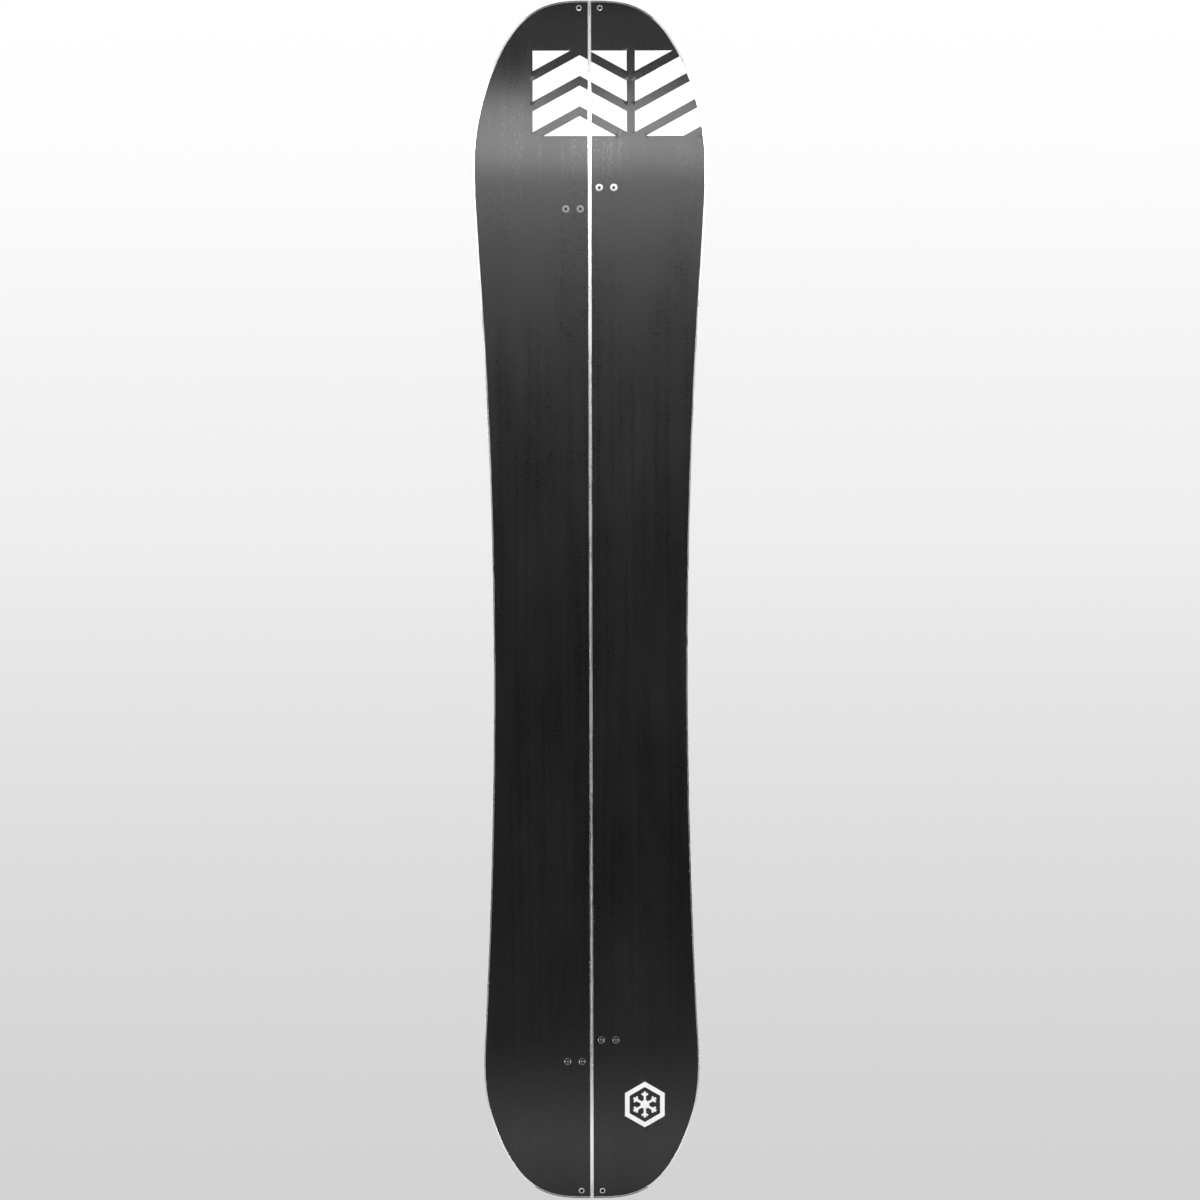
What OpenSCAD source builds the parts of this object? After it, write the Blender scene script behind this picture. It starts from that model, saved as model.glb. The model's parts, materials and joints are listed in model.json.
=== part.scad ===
// Splitboard: a snowboard sawn along its centreline into two halves that ski apart and lock together.
// The board lies deck up. X is across the board, Y runs from the nose (-Y) to the tail (+Y), Z is up.
// The seam is the plane x = 0 and the base's two contact lines lie on z = 0.

/* [Board] */
// Overall length from nose to tail
board_len = 1570; // [1500:5:1640]
// Width at the waist, the narrowest place
waist_w = 254.2; // [246:0.2:266]
// Distance from the nose to the waist
waist_s = 887; // [860:1:910]
// Rise of the nose above the contact lines
nose_rise = 50; // [40:1:60]
// Rise of the tail above the contact lines
tail_rise = 38; // [30:1:45]
// Height of the camber under the middle
camber = 5; // [2:0.5:6]
// Thickness of the board under the feet
mid_t = 8.2; // [7.8:0.1:8.8]
// Thickness of the board at its tips
tip_t = 4.8; // [4.6:0.1:5.2]
// Gap between the two halves
seam_gap = 0.3; // [0.3:0.1:0.8]

/* [Layers] */
// Thickness of the sintered base
base_t = 1.3; // [1.2:0.1:1.4]
// Height of the steel edge's bead
edge_h = 1.9; // [1.8:0.1:2.0]
// Width of the steel edge's bead
edge_w = 2; // [1.8:0.1:2.2]
// Width of the side walls
wall_w = 8; // [7:0.5:9]

/* [Hardware] */
// Hook centre at the nose, along Y
nose_hook_y = -525.2; // [-535:0.2:-520]
// Hook centre at the tail, along Y
tail_hook_y = 591.2; // [585:0.2:600]
// Distance of the clip fasteners from the board's ends
clip_inset = 11.2; // [8.6:0.1:13]
// Distance of the clip fasteners from the seam
clip_x = 13.7; // [13:0.1:15]
// Middle of the front foot's insert pack, along Y
front_foot_y = -245; // [-265:5:-225]
// Middle of the rear foot's insert pack, along Y
rear_foot_y = 315; // [295:5:335]

/* [Hidden] */
$fn = 48;

half_len = board_len / 2;
gap = seam_gap / 2;
nose_contact = -545;
tail_contact = 575;
fill_y0 = -700;
fill_y1 = 705;
flange_w = 5;
glass_lo = 0.5;
glass_hi = 0.7;
top_t = 0.5;
insert_x = [25, 65];
tour_y = -30;
riser_y = 215;

// ---- plan outline -------------------------------------------------------------------------------------------
function clamp(x, a, b) = min(max(x, a), b);
function smin(a, b, k) = let (h = clamp(0.5 + 0.5 * (b - a) / k, 0, 1)) b * (1 - h) + a * h - k * h * (1 - h);
function end_curve(d, len, half, a, b) = half * pow(1 - pow(1 - clamp(d / len, 0.000001, 1), a), 1 / b);
function sidecut(s) = waist_w / 2 + (s < waist_s ? 0.0000662 : 0.0000576) * (s - waist_s) * (s - waist_s);
// half width at distance s from the nose
function half_w(s) = smin(smin(end_curve(s, 204, 154.5, 1.35, 3.14), sidecut(s), 1.5),
    end_curve(board_len - s, 269, 157.1, 1.63, 3.26), 12);
NN = 22;
stations = concat(
    [for (i = [0:NN]) 204 * (1 - cos(i * 90 / NN))],
    [for (s = [240, 270]) s], [for (s = [320:50:1220]) s], [for (s = [1260:25:1335]) s],
    [for (i = [0:NN + 4]) board_len - 212 * (1 - cos((NN + 4 - i) * 90 / (NN + 4)))]);
outline = [for (s = stations) [s <= 0 || s >= board_len ? 0 : half_w(s), s - half_len]];
function unit(v) = v / norm(v);
function tangent(i) = i == 0 ? [1, 0] : i == len(outline) - 1 ? [-1, 0] : unit(outline[i + 1] - outline[i - 1]);
// the outline moved inwards by d
function inset(d) = [for (i = [0:len(outline) - 1]) let (t = tangent(i)) outline[i] + d * [-t[1], t[0]]];
function cross_y(p, q, x) = p[1] + (q[1] - p[1]) * (x - p[0]) / (q[0] - p[0]);
// the part of an inset outline beyond the line x = x0, starting and ending on that line
function beyond(d, x0) = let (p = inset(d), n = len(p)) concat(
    [for (i = [0:floor(n / 2)]) if (p[i][0] <= x0 && p[i + 1][0] > x0) [x0, cross_y(p[i], p[i + 1], x0)]],
    [for (q = p) if (q[0] > x0 + 0.01) q],
    [for (i = [floor(n / 2):n - 2]) if (p[i][0] > x0 && p[i + 1][0] <= x0) [x0, cross_y(p[i], p[i + 1], x0)]]);
function reversed(p) = [for (i = [len(p) - 1:-1:0]) p[i]];
function band(d0, d1, x0) = concat(beyond(d0, x0), reversed(beyond(d1, x0)));
function between(p, y0, y1) = [for (q = p) if (q[1] > y0 && q[1] < y1) q];
function at_y(p, y) = let (c = [for (i = [0:len(p) - 2]) if (p[i][1] <= y && p[i + 1][1] > y)
    p[i][0] + (p[i + 1][0] - p[i][0]) * (y - p[i][1]) / (p[i + 1][1] - p[i][1])]) [c[0], y];
function piece(d, y0, y1) = let (p = inset(d)) concat([at_y(p, y0)], between(p, y0, y1), [at_y(p, y1)]);
function first(p) = p[0];
function last(p) = p[len(p) - 1];
function strip(d, x0, x1) = let (a = beyond(d, x0), b = beyond(d, x1)) [first(a), first(b), last(b), last(a)];

// ---- side profile -------------------------------------------------------------------------------------------
function base_z(y) =
    y < nose_contact ? nose_rise * pow((nose_contact - y) / (nose_contact + half_len), 2.2)
    : y > tail_contact ? tail_rise * pow((y - tail_contact) / (half_len - tail_contact), 2.2)
    : camber / 2 * (1 + cos(180 * (2 * y - nose_contact - tail_contact) / (tail_contact - nose_contact)));
function ease(t) = t * t * (3 - 2 * t);
function board_t(y) = tip_t + (mid_t - tip_t) * ease(clamp((half_len - abs(y)) / 520, 0, 1));
// a level is [0, h], h above the base's surface, or [1, h], h above the deck's surface
function level(v, y) = base_z(y) + v[1] + (v[0] == 1 ? board_t(y) : 0);
function steps(a, b, n) = [for (i = [1:n]) a + (b - a) * i / n];
ys = concat([-half_len - 5], steps(-half_len - 5, fill_y0, 9), steps(fill_y0, nose_contact, 15),
    steps(nose_contact, tail_contact, 28), steps(tail_contact, fill_y1, 13), steps(fill_y1, half_len + 5, 8));
module slab(lo, hi, y0 = -900, y1 = 900) {
    mids = concat(y0 > -900 ? [y0] : [], [for (y = ys) if (y > y0 && y < y1) y], y1 < 900 ? [y1] : []);
    translate([-2, 0, 0]) rotate([90, 0, 90]) linear_extrude(height = 164)
        polygon(concat([for (y = mids) [y, level(lo, y)]], [for (y = reversed(mids)) [y, level(hi, y)]]));
}
// one layer of one half: a plan outline between two levels
module layer(pts, lo, hi, y0 = -900, y1 = 900) {
    intersection() {
        translate([0, 0, -20]) linear_extrude(height = 110) polygon(pts);
        slab(lo, hi, y0, y1);
    }
}
module side(s) { if (s < 0) mirror([1, 0, 0]) children(); else children(); }
BASE = [0, 0];
DECK = [1, 0];
A = [0, base_t];
B = [0, edge_h];
C = [0, edge_h + glass_lo];
D = [1, -glass_hi - top_t];
E = [1, -top_t];

// ---- where fasteners go through (drawn for the right half, s = 1, or the left half, s = -1) ----------------
hook_y = [nose_hook_y, tail_hook_y];
hook_x = [12.5, 31.5];
nose_y = -half_len + clip_inset;
tail_y = half_len - clip_inset;
function deck_z(y) = level(DECK, y);
function deck_angle(y) = atan((deck_z(y + 1) - deck_z(y - 1)) / 2);
// puts children on the deck at (x, y), square to it
module on_deck(x, y) { translate([x, y, deck_z(y)]) rotate([deck_angle(y), 0, 0]) children(); }
function thick_at(y) = board_t(y) * cos(deck_angle(y));
module hook_bores(s, r) {
    for (yc = hook_y, x = hook_x) translate([x, yc - 14 * s, -5]) cylinder(r = r, h = 30);
}
module clip_bores(r) {
    for (y = [nose_y, tail_y]) on_deck(clip_x, y) translate([0, 0, -10]) cylinder(r = r, h = 16);
}
module at_ride() { for (f = [front_foot_y, rear_foot_y], x = insert_x, k = [-50:20:50]) translate([x, f + k, 0]) children(); }
module at_tour() { for (x = [26, 64], k = [-19, 19]) translate([x, tour_y + k, 0]) children(); }
module at_riser() { for (x = [26, 64]) translate([x, riser_y, 0]) children(); }
module insert_bores() { at_ride() bore45(); at_tour() bore45(); at_riser() bore45(); }
module bore45() { translate([0, 0, -2]) cylinder(r = 4.5, h = 30); }

// ---- layers -------------------------------------------------------------------------------------------------
module base_sheet(s) {
    color([0.06, 0.06, 0.065]) side(s) difference() {
        layer(beyond(edge_w, gap + edge_w), BASE, A);
        hook_bores(s, 5);
        clip_bores(4);
        side(s) nose_mark();
        if (s > 0) tail_emblem(60);
    }
}
module outer_edge(s) {
    color("silver") side(s) union() {
        layer(band(0, edge_w, gap + edge_w), BASE, B);
        layer(band(edge_w - 0.5, flange_w, gap + flange_w), A, B);
    }
}
module inner_edge(s) {
    color("silver") side(s) union() {
        layer(strip(0, gap, gap + edge_w), BASE, B);
        layer(strip(edge_w, gap + edge_w - 0.5, gap + flange_w), A, B);
    }
}
module lower_laminate(s) {
    color([0.78, 0.8, 0.7]) side(s) difference() {
        union() {
            layer(beyond(flange_w, gap + flange_w), A, C);
            layer(beyond(0, gap), B, C);
        }
        hook_bores(s, 3);
        clip_bores(2.6);
    }
}
module core(s) {
    color("burlywood") side(s) difference() {
        layer(beyond(wall_w, gap + wall_w), C, D, fill_y0, fill_y1);
        hook_bores(s, 3);
        insert_bores();
    }
}
module outer_sidewall(s) {
    color([0.08, 0.08, 0.085]) side(s)
        layer(concat(piece(0, fill_y0, fill_y1), reversed(piece(wall_w, fill_y0, fill_y1))), C, D);
}
module inner_sidewall(s) {
    color([0.08, 0.08, 0.085]) side(s)
        layer([[gap, fill_y0], [gap + wall_w, fill_y0], [gap + wall_w, fill_y1], [gap, fill_y1]], C, D);
}
module end_fill(s, y0, y1) {
    color([0.1, 0.1, 0.11]) side(s) difference() {
        layer(beyond(0, gap), C, D, y0, y1);
        clip_bores(2.6);
    }
}
module upper_laminate(s) {
    color([0.78, 0.8, 0.7]) side(s) difference() {
        layer(beyond(0, gap), D, E);
        hook_bores(s, 3);
        clip_bores(2.6);
        insert_bores();
    }
}
module topsheet(s) {
    color([0.13, 0.15, 0.17]) side(s) difference() {
        layer(beyond(0, gap), E, DECK);
        hook_bores(s, 2.2);
        clip_bores(2.2);
        insert_bores();
    }
}

// ---- base inlays: white die-cut pieces let into the base ---------------------------------------------------
// The nose mark is four nested chevrons in a square block across the seam, and beside it the same bands again,
// slanting the other way and running out at the steel edge.
mark_x0 = -74.5;
mark_x1 = 48.8;
mark_y0 = -719;
mark_y1 = -607;
bars_x0 = 59.5;
band_w = 27;
band_step = 40;
slope = 0.55;
module clip_box(x0, x1) { translate([x0, mark_y0, -20]) cube([x1 - x0, mark_y1 - mark_y0, 110]); }
module nose_mark() {
    xc = (mark_x0 + mark_x1) / 2;
    w = (mark_x1 - mark_x0) / 2;
    intersection() {
        clip_box(mark_x0, mark_x1);
        for (i = [0:3]) let (v = mark_y0 - 34 + i * band_step) translate([0, 0, -20]) linear_extrude(height = 110)
            polygon([[xc - w - 5, v + slope * (w + 5)], [xc, v], [xc + w + 5, v + slope * (w + 5)],
                [xc + w + 5, v + band_w + slope * (w + 5)], [xc, v + band_w], [xc - w - 5, v + band_w + slope * (w + 5)]]);
    }
    intersection() {
        clip_box(bars_x0, 175);
        for (i = [0:4]) let (v = mark_y0 + i * band_step) translate([0, 0, -20]) linear_extrude(height = 110)
            polygon([[bars_x0 - 5, v + slope * 5], [180, v - slope * (180 - bars_x0)],
                [180, v + band_w - slope * (180 - bars_x0)], [bars_x0 - 5, v + band_w + slope * 5]]);
    }
}
tail_mark = [69.4, 662];
// a snow crystal in a six-sided frame
module tail_emblem(h) {
    translate([tail_mark[0], tail_mark[1], -10]) {
        rotate([0, 0, 30]) difference() {
            cylinder(r = 30, h = h, $fn = 6);
            translate([0, 0, -1]) cylinder(r = 23, h = h + 2, $fn = 6);
        }
        cylinder(r = 6, h = h, $fn = 6);
        for (a = [0:60:300]) rotate([0, 0, a + 30]) {
            translate([0, -1.6, 0]) cube([17, 3.2, h]);
            translate([11.5, 0, 0]) rotate([0, 0, 55]) translate([-1, -1.3, 0]) cube([6, 2.6, h]);
            translate([11.5, 0, 0]) rotate([0, 0, -55]) translate([-1, -1.3, 0]) cube([6, 2.6, h]);
        }
    }
}
module nose_inlay(s) {
    color("white") side(s) intersection() {
        layer(beyond(edge_w, gap + edge_w), BASE, A);
        side(s) nose_mark();
    }
}
module tail_inlay() {
    color("white") intersection() {
        layer(beyond(edge_w, gap + edge_w), BASE, A);
        tail_emblem(60);
    }
}

// ---- hooks --------------------------------------------------------------------------------------------------
// Each hook is a plate with a finger that crosses the seam and a lip behind the other plate's ridge. Lip and
// ridge faces are arcs about the fold axis (x = 0, z = 0), so they slide while the board folds and hold when
// the halves are pulled apart.
plate_t = 2;
lift = 0.05;
function hook_z(yc) = max(deck_z(yc - 22), deck_z(yc), deck_z(yc + 22)) + lift;
module rounded_box(x0, y0, x1, y1, r, h) {
    union() {
        translate([x0 + r, y0, 0]) cube([x1 - x0 - 2 * r, y1 - y0, h]);
        translate([x0, y0 + r, 0]) cube([x1 - x0, y1 - y0 - 2 * r, h]);
        for (x = [x0 + r, x1 - r], y = [y0 + r, y1 - r]) translate([x, y, 0]) cylinder(r = r, h = h);
    }
}
module hook(z) {
    difference() {
        union() {
            translate([0, 0, z]) rounded_box(4, -22, 39.5, 9, 3, plate_t);
            intersection() {
                translate([6, 1.2, z + 1]) cube([12, 7.4, 2.8]);
                rotate([-90, 0, 0]) cylinder(r = 16, h = 20, $fn = 96);
            }
            translate([5.5, -8.6, z + 1]) cube([8, 7.4, 5.1]);
            translate([-16.6, -8.6, z + 4.1]) cube([24, 7.4, 2]);
            difference() {
                translate([-16.6, -8.6, z + 2.4]) cube([7, 7.4, 2.7]);
                translate([0, -20, 0]) rotate([-90, 0, 0]) cylinder(r = 16.3, h = 40, $fn = 96);
            }
        }
        for (x = hook_x) translate([x, -14, z - 1]) cylinder(r = 2.1, h = 5);
    }
}
module hook_part(s, yc) {
    color([0.12, 0.12, 0.13]) translate([0, yc, 0]) rotate([0, 0, s < 0 ? 180 : 0]) hook(hook_z(yc));
}
module hook_screws(s) {
    color("silver") side(s) for (yc = hook_y, x = hook_x) translate([x, yc - 14 * s, 0]) {
        zt = hook_z(yc) + plate_t;
        zb = base_z(yc - 14 * s) + (yc < 0 ? 3.2 : 0.65);
        difference() {
            union() {
                translate([0, 0, zb]) cylinder(r1 = 1.2, r2 = 1.95, h = 0.7);
                translate([0, 0, zb + 0.7]) cylinder(r = 1.95, h = zt - zb - 0.2);
                translate([0, 0, zt]) cylinder(r = 4, h = 1.2);
                translate([0, 0, zt + 1.2]) cylinder(r1 = 4, r2 = 3.1, h = 0.8);
            }
            translate([0, 0, zt + 0.8]) cylinder(r = 1.5, h = 2, $fn = 6);
        }
    }
}
// a flanged barrel nut, its flange a little below the base's surface: a hole from below, a dish round it if
// dish is more than 0, and the thread from above down to floor
module tee_nut(r_flange, r_barrel, flange, top, r_hole, h_hole, floor, dish = 0) {
    difference() {
        union() {
            cylinder(r = r_flange, h = flange);
            cylinder(r = r_barrel, h = top);
        }
        translate([0, 0, -1]) cylinder(r = r_hole, h = 1 + h_hole);
        if (dish > 0) translate([0, 0, -1]) cylinder(r = r_flange - 0.8, h = 1 + dish);
        translate([0, 0, floor]) cylinder(r = 2, h = 10);
    }
}
// the nose hooks have blind nuts, the tail hooks open ones in which the screws' ends show
module hook_nuts(s) {
    color("gray") side(s) for (yc = hook_y, x = hook_x) let (y = yc - 14 * s)
        translate([x, y, base_z(y) + 0.25])
            if (yc < 0) tee_nut(4.95, 2.95, base_t - 0.45, board_t(y) - 0.95, 1.7, 2.2, 2.8);
            else tee_nut(4.95, 2.95, base_t - 0.45, board_t(y) - 0.95, 2.1, 3, 1.6, 0.35);
}

// ---- clips at the ends --------------------------------------------------------------------------------------
// A latch turns on the left half and its hook takes the post on the right half. The hook's outer wall is a
// spiral, so the latch draws the ends together as it closes, and lets the post go as the board folds.
washer_t = 1.8;
seat = 0.08;
latch_z = 1.9;
latch_t = 2;
reach = 2 * clip_x;
fold_per_turn = 6;
function spiral(a, rise) = reach + 2.35 + 1.15 * rise * sin(abs(a) / fold_per_turn);
function polar(r, a) = [r * cos(a), r * sin(a)];
// drawn round its pivot, with the mouth on the -Y side
module latch(rise) {
    difference() {
        union() {
            cylinder(r = 7.2, h = latch_t);
            linear_extrude(height = latch_t) polygon([[0, -6.2], [24.6, -5.2], [24.6, 7], [6, 7.1], [0, 7.2]]);
            linear_extrude(height = latch_t) polygon(concat(
                [for (a = [15:-2:-13]) polar(spiral(min(a, 0), rise) + 3.6, a)],
                [for (a = [-13:2:15]) polar(21, a)]));
            // thumb ribs
            for (x = [9.5, 12.5, 15.5]) translate([x, -3.6, latch_t - 0.5]) cube([1.4, 8, 1.3]);
        }
        translate([0, 0, -1]) cylinder(r = 3.06, h = 5);
        translate([reach, 0, -1]) cylinder(r = 2.35, h = 5);
        translate([0, 0, -1]) linear_extrude(height = 5) polygon(concat(
            [for (a = [0:-2:-26]) polar(spiral(a, rise), a)],
            [for (a = [-26:2:0]) polar(reach - 2.35, a)]));
    }
}
module latch_part(end) {
    y = end < 0 ? nose_y : tail_y;
    color([0.12, 0.12, 0.13]) on_deck(-clip_x, y) translate([0, 0, latch_z])
        if (end < 0) latch(deck_z(y) + 4); else mirror([0, 1, 0]) latch(deck_z(y) + 4);
}
module latch_washer(y) {
    color([0.2, 0.2, 0.2]) on_deck(-clip_x, y) difference() {
        translate([0, 0, seat]) cylinder(r = 6, h = washer_t - seat);
        translate([0, 0, -1]) cylinder(r = 3.05, h = 4);
    }
}
module latch_screw(y) {
    top = latch_z + latch_t + 0.1;
    color("silver") on_deck(-clip_x, y) difference() {
        union() {
            translate([0, 0, -thick_at(y) + 2.2]) cylinder(r = 1.95, h = thick_at(y));
            translate([0, 0, seat]) cylinder(r = 3, h = top + 0.5 - seat);
            translate([0, 0, top]) cylinder(r = 5.6, h = 1.2);
            translate([0, 0, top + 1.2]) cylinder(r1 = 5.6, r2 = 4.6, h = 0.8);
        }
        translate([0, 0, top + 0.7]) cylinder(r = 1.8, h = 3, $fn = 6);
    }
}
module post(y) {
    color("silver") on_deck(clip_x, y) difference() {
        union() {
            translate([0, 0, -thick_at(y) + 2.2]) cylinder(r = 1.95, h = thick_at(y));
            translate([0, 0, seat]) cylinder(r = 5, h = washer_t - seat);
            translate([0, 0, 1]) cylinder(r = 2, h = 5);
            translate([0, 0, 5.3]) cylinder(r = 4, h = 0.9);
            translate([0, 0, 6.2]) cylinder(r1 = 4, r2 = 3.2, h = 0.8);
        }
        translate([0, 0, 6]) cylinder(r = 1.5, h = 2, $fn = 6);
    }
}
module end_nuts(x) {
    color("gray") for (y = [nose_y, tail_y]) on_deck(x, y) translate([0, 0, -thick_at(y) + 0.2])
        tee_nut(3.95, 2.55, base_t * cos(deck_angle(y)) - 0.35, thick_at(y) - 0.75, 2.1, 1.5, 1.9);
}

// ---- threaded inserts for bindings and touring brackets ---------------------------------------------------
module insert(y) {
    z0 = level(C, y) + 0.1;
    h = board_t(y) - edge_h - glass_lo - 0.3;
    translate([0, 0, z0]) difference() {
        cylinder(r = 4.5, h = h);
        translate([0, 0, 0.8]) cylinder(r = 2.5, h = 10);
    }
}
module ride_inserts(s) {
    color("gray") side(s) for (f = [front_foot_y, rear_foot_y], x = insert_x, k = [-50:20:50])
        translate([x, f + k, 0]) insert(f + k);
}
module tour_inserts(s) {
    color("gray") side(s) for (x = [26, 64], k = [-19, 19]) translate([x, tour_y + k, 0]) insert(tour_y + k);
}
module riser_inserts(s) {
    color("gray") side(s) for (x = [26, 64]) translate([x, riser_y, 0]) insert(riser_y);
}

base_sheet(-1);  // left_base
outer_edge(-1);  // left_outer_edge
inner_edge(-1);  // left_inner_edge
lower_laminate(-1);  // left_lower_laminate
core(-1);  // left_core
outer_sidewall(-1);  // left_outer_sidewall
inner_sidewall(-1);  // left_inner_sidewall
end_fill(-1, -900, fill_y0);  // left_tip_fill
end_fill(-1, fill_y1, 900);  // left_tail_fill
upper_laminate(-1);  // left_upper_laminate
topsheet(-1);  // left_topsheet
base_sheet(1);  // right_base
outer_edge(1);  // right_outer_edge
inner_edge(1);  // right_inner_edge
lower_laminate(1);  // right_lower_laminate
core(1);  // right_core
outer_sidewall(1);  // right_outer_sidewall
inner_sidewall(1);  // right_inner_sidewall
end_fill(1, -900, fill_y0);  // right_tip_fill
end_fill(1, fill_y1, 900);  // right_tail_fill
upper_laminate(1);  // right_upper_laminate
topsheet(1);  // right_topsheet
nose_inlay(-1);  // left_nose_inlay
nose_inlay(1);  // right_nose_inlay
tail_inlay();  // right_tail_inlay
hook_part(-1, nose_hook_y);  // left_nose_hook
hook_part(1, nose_hook_y);  // right_nose_hook
hook_part(-1, tail_hook_y);  // left_tail_hook
hook_part(1, tail_hook_y);  // right_tail_hook
hook_screws(-1);  // left_hook_screws
hook_screws(1);  // right_hook_screws
hook_nuts(-1);  // left_hook_nuts
hook_nuts(1);  // right_hook_nuts
latch_part(-1);  // nose_latch
latch_part(1);  // tail_latch
latch_screw(nose_y);  // nose_latch_screw
latch_screw(tail_y);  // tail_latch_screw
latch_washer(nose_y);  // nose_latch_washer
latch_washer(tail_y);  // tail_latch_washer
end_nuts(-clip_x);  // latch_nuts
post(nose_y);  // nose_post
post(tail_y);  // tail_post
end_nuts(clip_x);  // post_nuts
ride_inserts(-1);  // left_ride_inserts
ride_inserts(1);  // right_ride_inserts
tour_inserts(-1);  // left_tour_inserts
tour_inserts(1);  // right_tour_inserts
riser_inserts(-1);  // left_riser_inserts
riser_inserts(1);  // right_riser_inserts
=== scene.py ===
import json
import math

import bmesh
import bpy
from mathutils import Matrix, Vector
from mathutils.geometry import delaunay_2d_cdt


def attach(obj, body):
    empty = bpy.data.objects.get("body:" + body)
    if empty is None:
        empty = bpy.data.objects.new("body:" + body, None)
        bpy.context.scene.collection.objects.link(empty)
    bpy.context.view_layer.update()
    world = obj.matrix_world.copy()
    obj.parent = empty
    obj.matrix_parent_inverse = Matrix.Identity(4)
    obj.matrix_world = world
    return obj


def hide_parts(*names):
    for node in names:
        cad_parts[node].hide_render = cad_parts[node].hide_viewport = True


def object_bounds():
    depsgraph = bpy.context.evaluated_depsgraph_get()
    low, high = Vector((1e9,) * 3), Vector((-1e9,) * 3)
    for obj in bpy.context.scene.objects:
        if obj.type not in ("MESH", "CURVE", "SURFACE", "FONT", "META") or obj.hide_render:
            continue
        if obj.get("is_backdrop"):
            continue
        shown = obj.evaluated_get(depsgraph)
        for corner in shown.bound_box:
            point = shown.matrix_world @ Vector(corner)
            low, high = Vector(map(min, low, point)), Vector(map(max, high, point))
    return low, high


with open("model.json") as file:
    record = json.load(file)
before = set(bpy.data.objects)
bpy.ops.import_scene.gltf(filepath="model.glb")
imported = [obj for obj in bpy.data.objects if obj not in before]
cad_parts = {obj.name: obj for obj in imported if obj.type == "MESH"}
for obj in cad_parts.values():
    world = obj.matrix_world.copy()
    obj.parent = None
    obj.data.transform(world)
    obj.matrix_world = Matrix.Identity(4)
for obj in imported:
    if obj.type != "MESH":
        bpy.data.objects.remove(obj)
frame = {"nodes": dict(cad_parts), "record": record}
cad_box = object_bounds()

scene = bpy.context.scene
scene.view_settings.view_transform = "Standard"
scene.view_settings.look = "None"
MM = 0.001

# ------------------------------------------------------------------------------------------------ design rules
# The same rules as part.scad, in millimetres.
L = 1570.0
HALF = L / 2
WAIST_W, WAIST_S = 254.2, 887.0
NOSE_RISE, TAIL_RISE, CAMBER = 50.0, 38.0, 5.0
MID_T, TIP_T = 8.2, 4.8
GAP = 0.15
BASE_T, EDGE_H, EDGE_W, WALL_W, FLANGE_W = 1.3, 1.9, 2.0, 8.0, 5.0
GLASS_LO, GLASS_HI, TOP_T = 0.5, 0.7, 0.5
NC, TC = -545.0, 575.0
FILL0, FILL1 = -700.0, 705.0


def clamp(x, a, b):
    return min(max(x, a), b)


def smin(a, b, k):
    h = clamp(0.5 + 0.5 * (b - a) / k, 0, 1)
    return b * (1 - h) + a * h - k * h * (1 - h)


def end_curve(d, length, half, a, b):
    return half * (1 - (1 - clamp(d / length, 1e-6, 1)) ** a) ** (1 / b)


def sidecut(s):
    return WAIST_W / 2 + (0.0000662 if s < WAIST_S else 0.0000576) * (s - WAIST_S) ** 2


def half_w(s):
    return smin(smin(end_curve(s, 204, 154.5, 1.35, 3.14), sidecut(s), 1.5), end_curve(L - s, 269, 157.1, 1.63, 3.26), 12)


def base_z(y):
    if y < NC:
        return NOSE_RISE * ((NC - y) / (NC + HALF)) ** 2.2
    if y > TC:
        return TAIL_RISE * ((y - TC) / (HALF - TC)) ** 2.2
    return CAMBER / 2 * (1 + math.cos(math.pi * (2 * y - NC - TC) / (TC - NC)))


def board_t(y):
    t = clamp((HALF - abs(y)) / 520, 0, 1)
    return TIP_T + (MID_T - TIP_T) * t * t * (3 - 2 * t)


def deck_z(y):
    return base_z(y) + board_t(y)


def deck_angle(y):
    return math.atan((deck_z(y + 1) - deck_z(y - 1)) / 2)


def level(v, y):
    return base_z(y) + v[1] + (board_t(y) if v[0] else 0.0)


BASE, DECK = (0, 0.0), (1, 0.0)
LA, LB, LC = (0, BASE_T), (0, EDGE_H), (0, EDGE_H + GLASS_LO)
LD, LE = (1, -GLASS_HI - TOP_T), (1, -TOP_T)

# The outline, sampled finely: dense at the blunt ends, a station every few millimetres between them.
N_END = 60
stations = (
    [200 * (1 - math.cos(i * math.pi / 2 / N_END)) for i in range(N_END)]
    + [200 + 6 * i for i in range(int((L - 400) / 6))]
    + [L - 200 * (1 - math.cos((N_END - i) * math.pi / 2 / N_END)) for i in range(0, N_END + 1)]
)
outline = [(0.0 if s <= 0 or s >= L else half_w(s), s - HALF) for s in stations]


def normals(p):
    out = []
    n = len(p)
    for i in range(n):
        if i == 0:
            t = (1.0, 0.0)
        elif i == n - 1:
            t = (-1.0, 0.0)
        else:
            dx, dy = p[i + 1][0] - p[i - 1][0], p[i + 1][1] - p[i - 1][1]
            m = math.hypot(dx, dy)
            t = (dx / m, dy / m)
        out.append((-t[1], t[0]))
    return out


outline_n = normals(outline)


def inset(d):
    return [(p[0] + d * n[0], p[1] + d * n[1]) for p, n in zip(outline, outline_n)]


def beyond(d, x0):
    """The part of an inset outline beyond x = x0, starting and ending on that line."""
    p = inset(d)
    out = []
    n = len(p)
    for i in range(n // 2):
        a, b = p[i], p[i + 1]
        if a[0] <= x0 < b[0]:
            out.append((x0, a[1] + (b[1] - a[1]) * (x0 - a[0]) / (b[0] - a[0])))
    out += [q for q in p if q[0] > x0 + 0.02]
    for i in range(n // 2, n - 1):
        a, b = p[i], p[i + 1]
        if a[0] > x0 >= b[0]:
            out.append((x0, a[1] + (b[1] - a[1]) * (x0 - a[0]) / (b[0] - a[0])))
    return out


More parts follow.
